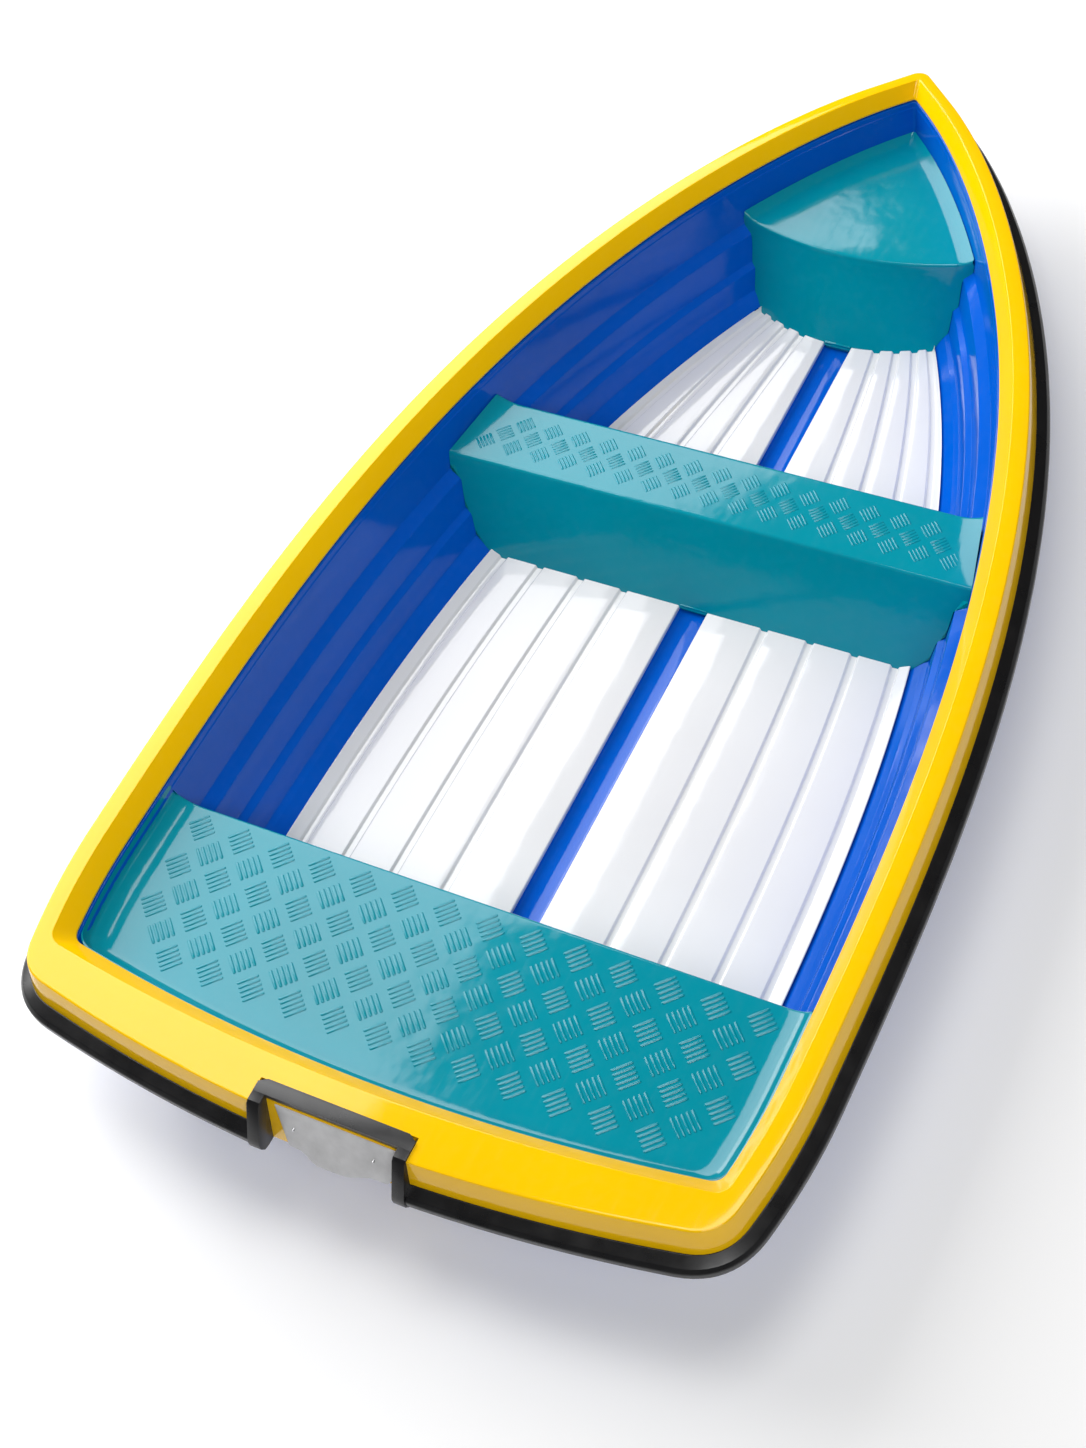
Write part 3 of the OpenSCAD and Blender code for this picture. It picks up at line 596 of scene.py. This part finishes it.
def make_notch_frame():
    leg_width, corner = 21.0, 14.0
    leg_view = [(-40, 3.9), (-66, 3.9), (-72, -0.5), (-101, -60), (-104.5, -68), (-104.5, -79),
                (-98, -91), (-88, RAIL_BOTTOM), (RECESS_FOOT, RAIL_BOTTOM), (NOTCH_BACK, -10),
                (-40, -7.9)]
    bar_plan = [(NOTCH_FRONT, NOTCH_HALF - corner), (NOTCH_FRONT - corner * 0.6, NOTCH_HALF),
                (NOTCH_BACK, NOTCH_HALF), (NOTCH_BACK, -NOTCH_HALF),
                (NOTCH_FRONT - corner * 0.6, -NOTCH_HALF), (NOTCH_FRONT, corner - NOTCH_HALF)]
    body = prism("notch_bar", bar_plan, -8, 4, axis="z")
    for side in (-1, 1):
        outer, inner = side * NOTCH_HALF, side * (NOTCH_HALF - leg_width)
        leg = prism("leg", leg_view, min(inner, outer) + 0.01, max(inner, outer) - 0.01)
        combine(body, leg, "UNION")
    edge = body.modifiers.new("edges", "BEVEL")
    edge.width = 3 * MM
    edge.segments = 3
    edge.limit_method = "ANGLE"
    edge.angle_limit = math.radians(28)
    bake(body)
    soften(body, 40)
    body.name = "notch_surround"
    finish(body, BLACK, "rail_rubber", "notch_frame")


def make_pad():
    """Soft-cornered grey pad on the recess's wall, with a bulged, drooping lip in the middle."""
    rows, columns, top = 26, 48, -12.0

    def point(u, v, back=False):
        port, starboard = 101 - 15 * v, 113 - 25 * v ** 2.5
        y = u * (port if u > 0 else starboard)
        middle = math.exp(-((y - 10) / (42 if y > 10 else 55)) ** 4)
        level = top + v * (RAIL_BOTTOM - 6 * middle - top)
        seat = NOTCH_BACK - 1 + (RECESS_FOOT - NOTCH_BACK) * (level + 9) / (RAIL_BOTTOM + 9) - 0.4
        edge = max(0, (1 - u ** 8) * (1 - (2 * v - 1) ** 10)) ** 0.25
        swell = 2.5 + 14 * v ** 2 * middle
        return (seat - (0 if back else 1 + swell * edge), y, level)

    us = [math.sin((i / columns - 0.5) * math.pi) for i in range(columns + 1)]
    vs = [(1 - math.cos(j / rows * math.pi)) / 2 for j in range(rows + 1)]
    shell = Shell()
    front = [[point(u, v) for u in us] for v in vs]
    back = [[point(u, v, True) for u in us] for v in vs]
    shell.grid(front)
    shell.grid(back)
    for line, other in ((front[0], back[0]), (front[-1], back[-1]),
                        ([r[0] for r in front], [r[0] for r in back]),
                        ([r[-1] for r in front], [r[-1] for r in back])):
        shell.grid([line, other])
    finish(shell.build("motor_pad_moulding", sharp=60), PAD_GREY, "pad_plastic", "motor_pad")


# ---- Floor ---------------------------------------------------------------------------------------
FLOOR_EDGE = 171.0
GROOVES = (0.288, 0.513, 0.73, 0.925)
GROOVE_W, GROOVE_D, EDGE_LIFT = 17.0, 4.5, 8.0


def floor_section(s):
    inner = CHANNEL_HALF + 0.3
    outer = core(s) + BOW_R - FLOOR_EDGE
    width = outer - inner
    g = min(GROOVE_W, width * 0.13)
    under = FLOOR_TOP - 8.2
    corners = [(inner, under, 0), (inner, FLOOR_TOP, 3)]
    for share in GROOVES:
        y = inner + share * width
        corners += [(y - g / 2, FLOOR_TOP, 2.5), (y - g / 3.4, FLOOR_TOP - GROOVE_D, 1.6),
                    (y + g / 3.4, FLOOR_TOP - GROOVE_D, 1.6), (y + g / 2, FLOOR_TOP, 2.5)]
    corners += [(outer, FLOOR_TOP + EDGE_LIFT, 2), (outer - 6, under + 1, 0)]
    return rounded(corners)


def make_floor(name, side):
    first, last, count = 75.0, FOREFOOT, 90
    stations = [first + (last - first) * i / count for i in range(count + 1)]
    rows = [[(s, side * y, z) for y, z in floor_section(s)] for s in stations]
    shell = Shell()
    shell.grid(rows, closed_cols=True)
    shell.cap(rows[0])
    shell.cap(rows[-1])
    finish(shell.build("planked_floor_" + name, sharp=50), WHITE, "floor_gelcoat", "floor_" + name)


# ---- Seats ---------------------------------------------------------------------------------------
def wall_y(s, level, gap=1.0):
    return core(s) + BOW_R - wall(level) - gap


def border_fill(rings, front, steps):
    """Rings from a flat border to the points of the front edge, in the border's own order."""
    border = rings[-1]
    return [[tuple(a + (b - a) * t / steps for a, b in zip(p, q)) for p, q in zip(border, front)]
            for t in range(1, steps + 1)]


def mirrored(half):
    return half + [(s, -y, z) for s, y, z in half[-2::-1]]


def front_chain(rings):
    """The front edge from port to starboard: ends of the border rings, then the last ring."""
    ends = [ring[0] for ring in rings[:-1]]
    return ends + rings[-1] + [(s, -y, z) for s, y, z in reversed(ends)]


def tab(name, station):
    """Tongue of a seat's face that closes the keel channel."""
    level, foot = FLOOR_TOP + 3, BOTTOM - CHANNEL_DEPTH + 0.3
    outline = [(station, level), (station + 4, foot), (station + 14, foot), (station + 14, level)]
    return prism(name, outline, 1 - CHANNEL_HALF, CHANNEL_HALF - 1, bevel=1.5)


def make_stern_seat():
    level, front_s, edge_r, draft = STERN_SEAT_TOP, STERN_SEAT_FRONT, 7.0, 30.0
    upstand = [(-58.2, -38.5), (-60, -48), (-62.4, -58.5), (-64.2, -60.6), (-66.5, -61.4),
               (-69.5, -63), (-74, -66.5), (-80, -70), (-88, -73.4), (-97, -75.7), (-108, -76.8),
               (-118, level)]
    start = front_s - edge_r
    rim = upstand[0][0]
    rings = []
    for o, z in upstand:
        aft = TRANSOM_TOP_W - TOP_W - (rim + (o - rim) * 0.5) + 1
        r = max(14.0, 30 + (o + 58) * 0.2)
        shift = o + BOW_R
        side = [(s, core(s) + shift) for s in np.linspace(start, aft + r, 30)[:-1]]
        plan = side + tail(o, aft, sag_of(o), r)
        rings.append(mirrored([(s, y, z) for s, y in plan]))
    flat = rings[-1]
    half = (len(flat) - 1) // 2
    reach = flat[0][1]
    front = [(start, reach * (1 - k / half), level) for k in range(2 * half + 1)]
    rings += border_fill(rings, front, 10)
    shell = Shell()
    shell.grid(rings)
    chain = front_chain(rings)
    face = []
    angles = [math.pi / 2 * k / 6 for k in range(7)]
    for a in angles:
        face.append([(start + edge_r * math.sin(a), y, z - edge_r * (1 - math.cos(a)))
                     for _, y, z in chain])
    for k in range(1, 25):
        row = []
        for (_, y, z), (_, _, top) in zip(face[6], chain):
            low = z + (SEAT_FOOT - z) * k / 24
            s = front_s + draft * (low - level) / (SEAT_FOOT - level)
            share = y / max(1.0, chain[0][1])
            row.append((s, share * wall_y(s, min(low, -39)), low))
        face.append(row)
    shell.grid(face)
    seat = shell.build("stern_seat_moulding", upward=True, thickness=3)
    return finish(seat, TEAL, "seat_gelcoat", "stern_seat")


def make_thwart():
    level, aft_s, width = THWART_TOP, THWART_AFT, THWART_WIDTH
    aft_draft, fore_draft = 78.0, 30.0
    cove_w, cove_h = 46.0, 15.0
    faces = 22
    profile = []
    for k in range(faces):
        t = k / faces
        profile.append((aft_s - aft_draft * (1 - t), SEAT_FOOT + (level - SEAT_FOOT) * t))
    top = rounded([(aft_s - 8, level - 17.5, 0), (aft_s, level, 8), (aft_s + width, level, 8),
                   (aft_s + width + 3, level - 17, 0)], steps=6)
    profile = profile[:-2] + top
    for k in range(2, faces + 1):
        t = k / faces
        profile.append((aft_s + width + fore_draft * t, level + (SEAT_FOOT - level) * t))
    inside = [0, 1.5, 4, 8, 13, 19, 26, 34, 44, 56]
    shares = [1 - d / 500 for d in inside] + list(np.linspace(0.87, 0, 24))
    shares += [-u for u in reversed(shares[:-1])]

    def point(s, z, u):
        reach = wall_y(s, z)
        y = u * reach
        inset = reach - abs(y)
        ahead = min(1.0, max(0.0, (s - aft_s - 4) / (width - 12)))
        lift = cove_h * ahead * max(0.0, 1 - inset / cove_w) ** 2
        near_top = min(1.0, max(0.0, (z - level + 60) / 60))
        return (s, y, z + lift * near_top)

    rows = [[point(s, z, u) for s, z in profile] for u in shares]
    shell = Shell()
    shell.grid(rows, closed_cols=True)
    shell.cap(rows[0])
    shell.cap(rows[-1])
    seat = join([shell.build("thwart_body", sharp=50),
                 tab("thwart_tab", aft_s - aft_draft + 1)], "thwart_moulding")
    return finish(seat, TEAL, "seat_gelcoat", "mid_thwart")


def make_bow_seat():
    level, front_s, bulge, draft, half_edge = -107.0, 1920.0, 40.0, 85.0, 222.0
    edge_r = 6.0

    def face_station(z, y):
        f = max(0.0, (level - z) / (level - SEAT_FOOT))
        return front_s - draft * f ** 1.3 + (bulge + 30 * f) * (y / half_edge) ** 2

    def edge_y(inset, z):
        y = 200.0
        for _ in range(14):
            y = (y + core(face_station(z, y)) + BOW_R - inset) / 2
        return y

    profile = [(0.6, -98.5), (2.5, -99.2), (5, -100.3), (11, -102.6), (18, -104.9),
               (25, -106.2), (31, -106.9), (34, level)]
    base = wall(level)
    rings = []
    for d, z in profile:
        y = edge_y(base + d, level)
        corner = face_station(level, y) + edge_r
        side = head(-base - d, corner, 40) + [(corner, core(corner) + BOW_R - base - d)]
        half = [(s, y, z) for s, y in reversed(side)]
        rings.append(mirrored(half))
    flat = rings[-1]
    middle = (len(flat) - 1) // 2
    front = []
    for k in range(2 * middle + 1):
        y = flat[0][1] * (1 - k / middle)
        front.append((face_station(level, y) + edge_r, y, level))
    rings += border_fill(rings, front, 10)
    shell = Shell()
    shell.grid(rings)
    chain = front_chain(rings)
    face = []
    for k in range(7):
        a = math.pi / 2 * k / 6
        face.append([(s - edge_r * math.sin(a), y, z - edge_r * (1 - math.cos(a)))
                     for s, y, z in chain])
    reach = chain[0][1]
    for k in range(1, 25):
        row = []
        for _, y, z in face[6]:
            low = z + (SEAT_FOOT - z) * k / 24
            end = edge_y(wall(low) + 1, low)
            b = y / reach * end
            row.append((face_station(low, b), b, low))
        face.append(row)
    shell.grid(face)
    body = shell.build("bow_seat_body", upward=True, thickness=3)
    seat = join([body, tab("bow_tab", front_s - draft + 1)], "bow_seat_moulding")
    return finish(seat, TEAL, "seat_gelcoat", "bow_seat")


# ---- Tread ---------------------------------------------------------------------------------------
def tread_bar(shell, s, y, level, along, length, width, height):
    """One low, round-ended bar of the tread, its long axis turned by an angle."""
    c, d = math.cos(along), math.sin(along)
    straight = length / 2 - width / 2

    def outline(r, z):
        ring = []
        for end in (1, -1):
            for k in range(5):
                a = (k / 4 - 0.5) * math.pi + (0 if end > 0 else math.pi)
                u, v = end * straight + r * math.cos(a), r * math.sin(a)
                ring.append((s + u * c - v * d, y + u * d + v * c, level + z))
        return ring

    r = width / 2
    rings = [outline(r + 0.6, -0.5), outline(r + 0.35, 0.12), outline(r * 0.8, height * 0.72),
             outline(r * 0.42, height)]
    shell.grid(rings, closed_cols=True)
    shell.cap(rings[0])
    shell.cap(rings[-1])


def make_tread(name, level, pitch, first_s, first_y, allowed, scale):
    """Groups of bars on a lattice, each at right angles to the next, where their centres may be."""
    shell = Shell()
    bars, spacing = 5, 8.6 * scale
    length, width, height = 37 * scale, 4.6 * scale, 1.25 * scale
    reach = 20
    for i in range(-reach, reach + 1):
        for j in range(-reach, reach + 1):
            for kind in (0, 1):
                s = first_s + (i + kind / 2) * pitch
                y = first_y + (j + kind / 2) * pitch
                if not allowed(s, y):
                    continue
                along = math.radians(45 if kind else -45)
                for k in range(bars):
                    off = (k - (bars - 1) / 2) * spacing
                    bs, by = s - off * math.sin(along), y + off * math.cos(along)
                    tread_bar(shell, bs, by, level, along, length, width, height)
    piece = shell.build(name, sharp=60, weld=0.001)
    return finish(piece, TEAL, "seat_gelcoat")


def on_stern_seat(s, y):
    """Whether a group may be here: clear of the bowed aft edge, the rounded front and the coves."""
    seat_half, rim, cove, sag = 560, 58, 62, 48
    aft_edge = TRANSOM_TOP_W + rim - sag * (1 - (y / seat_half) ** 2)
    return (aft_edge + 30 < s < STERN_SEAT_FRONT - 32
            and abs(y) < core(s) + BOW_R - rim - cove)


def on_thwart(s, y):
    """Whether a group may be here: clear of both long edges and of the coves at the ends."""
    edge, cove = 20, 40
    return (THWART_AFT + edge < s < THWART_AFT + THWART_WIDTH - edge
            and abs(y) < wall_y(s, THWART_TOP) - cove)


# ---- CAD pieces that stay ------------------------------------------------------------------------
CAD_FINISH = {
    "keel_strip": PLASTIC, "keel_screws": STEEL, "bilge_runner_port": PLASTIC,
    "bilge_runner_starboard": PLASTIC, "gunwale_core": FOAM, "gunwale_screws": STEEL,
    "pad_screws": STEEL, "transom_core": WOOD, "stern_foam": FOAM, "thwart_foam": FOAM,
    "bow_foam": FOAM, "stem_block": BLOCK, "bow_eye": STEEL, "bow_eye_washer": STEEL,
    "bow_eye_nut": STEEL, "drain_bush": PLASTIC, "drain_nut": PLASTIC, "drain_seal": SEAL,
    "drain_plug": PLUG,
}


def finish_cad():
    for name, material in CAD_FINISH.items():
        node = NODES[name]
        node.data.materials.clear()
        node.data.materials.append(material)


# ---- Studio --------------------------------------------------------------------------------------
def area_light(name, where, towards, size, power):
    light = bpy.data.lights.new(name, "AREA")
    light.shape = "RECTANGLE"
    light.size, light.size_y = size
    light.energy = power
    lamp = bpy.data.objects.new(name, light)
    lamp.location = where
    lamp.rotation_euler = (Vector(towards) - Vector(where)).to_track_quat("-Z", "Y").to_euler()
    bpy.context.scene.collection.objects.link(lamp)


def make_studio():
    bpy.ops.mesh.primitive_plane_add(size=40, location=(0, 0, -0.0005))
    ground = bpy.context.object
    ground.name = "studio_floor"
    n = Nodes("pale_floor")
    n.link(n.mix(n.noise(0.7), (0.8, 0.8, 0.8, 1), (0.83, 0.83, 0.83, 1)),
           n.shader.inputs["Base Color"])
    n.shader.inputs["Emission Color"].default_value = (1, 1, 1, 1)
    n.shader.inputs["Emission Strength"].default_value = 0.2
    n.shader.inputs["Roughness"].default_value = 0.6
    ground.data.materials.append(n.material)
    world = bpy.data.worlds.new("studio")
    world.use_nodes = True
    world.node_tree.nodes["Background"].inputs["Color"].default_value = (1, 1, 1, 1)
    world.node_tree.nodes["Background"].inputs["Strength"].default_value = 0.07
    bpy.context.scene.world = world
    area_light("key_panel", (1.6, 2.6, 3.0), (1.6, 0.3, 0.2), (5.4, 2.6), 180)
    area_light("overhead", (-0.2, -0.3, 5.0), (0.0, 0.0, 0.0), (2.4, 2.0), 75)
    area_light("port_low", (0.2, 3.3, 1.6), (0.0, -0.2, 0.1), (3.4, 0.9), 60)
    area_light("camera_side", (-3.2, -2.6, 4.4), (-0.3, -0.1, 0.0), (2.4, 2.0), 105)
    bpy.context.scene.view_settings.view_transform = "Standard"


make_camera()
make_hull()
make_gunwale()
for label, direction in (("port", 1), ("starboard", -1)):
    make_rail(label, direction)
    make_floor(label, direction)
make_notch_frame()
make_pad()
make_stern_seat()
make_thwart()
make_bow_seat()
make_tread("stern_tread", STERN_SEAT_TOP, STERN_PITCH, STERN_SEAT_FRONT - 2.5 * STERN_PITCH,
           STERN_PITCH / 2, on_stern_seat, 1.0)
make_tread("thwart_tread", THWART_TOP, THWART_PITCH, 1316.0, THWART_PITCH / 2, on_thwart, 0.74)
finish_cad()
make_studio()
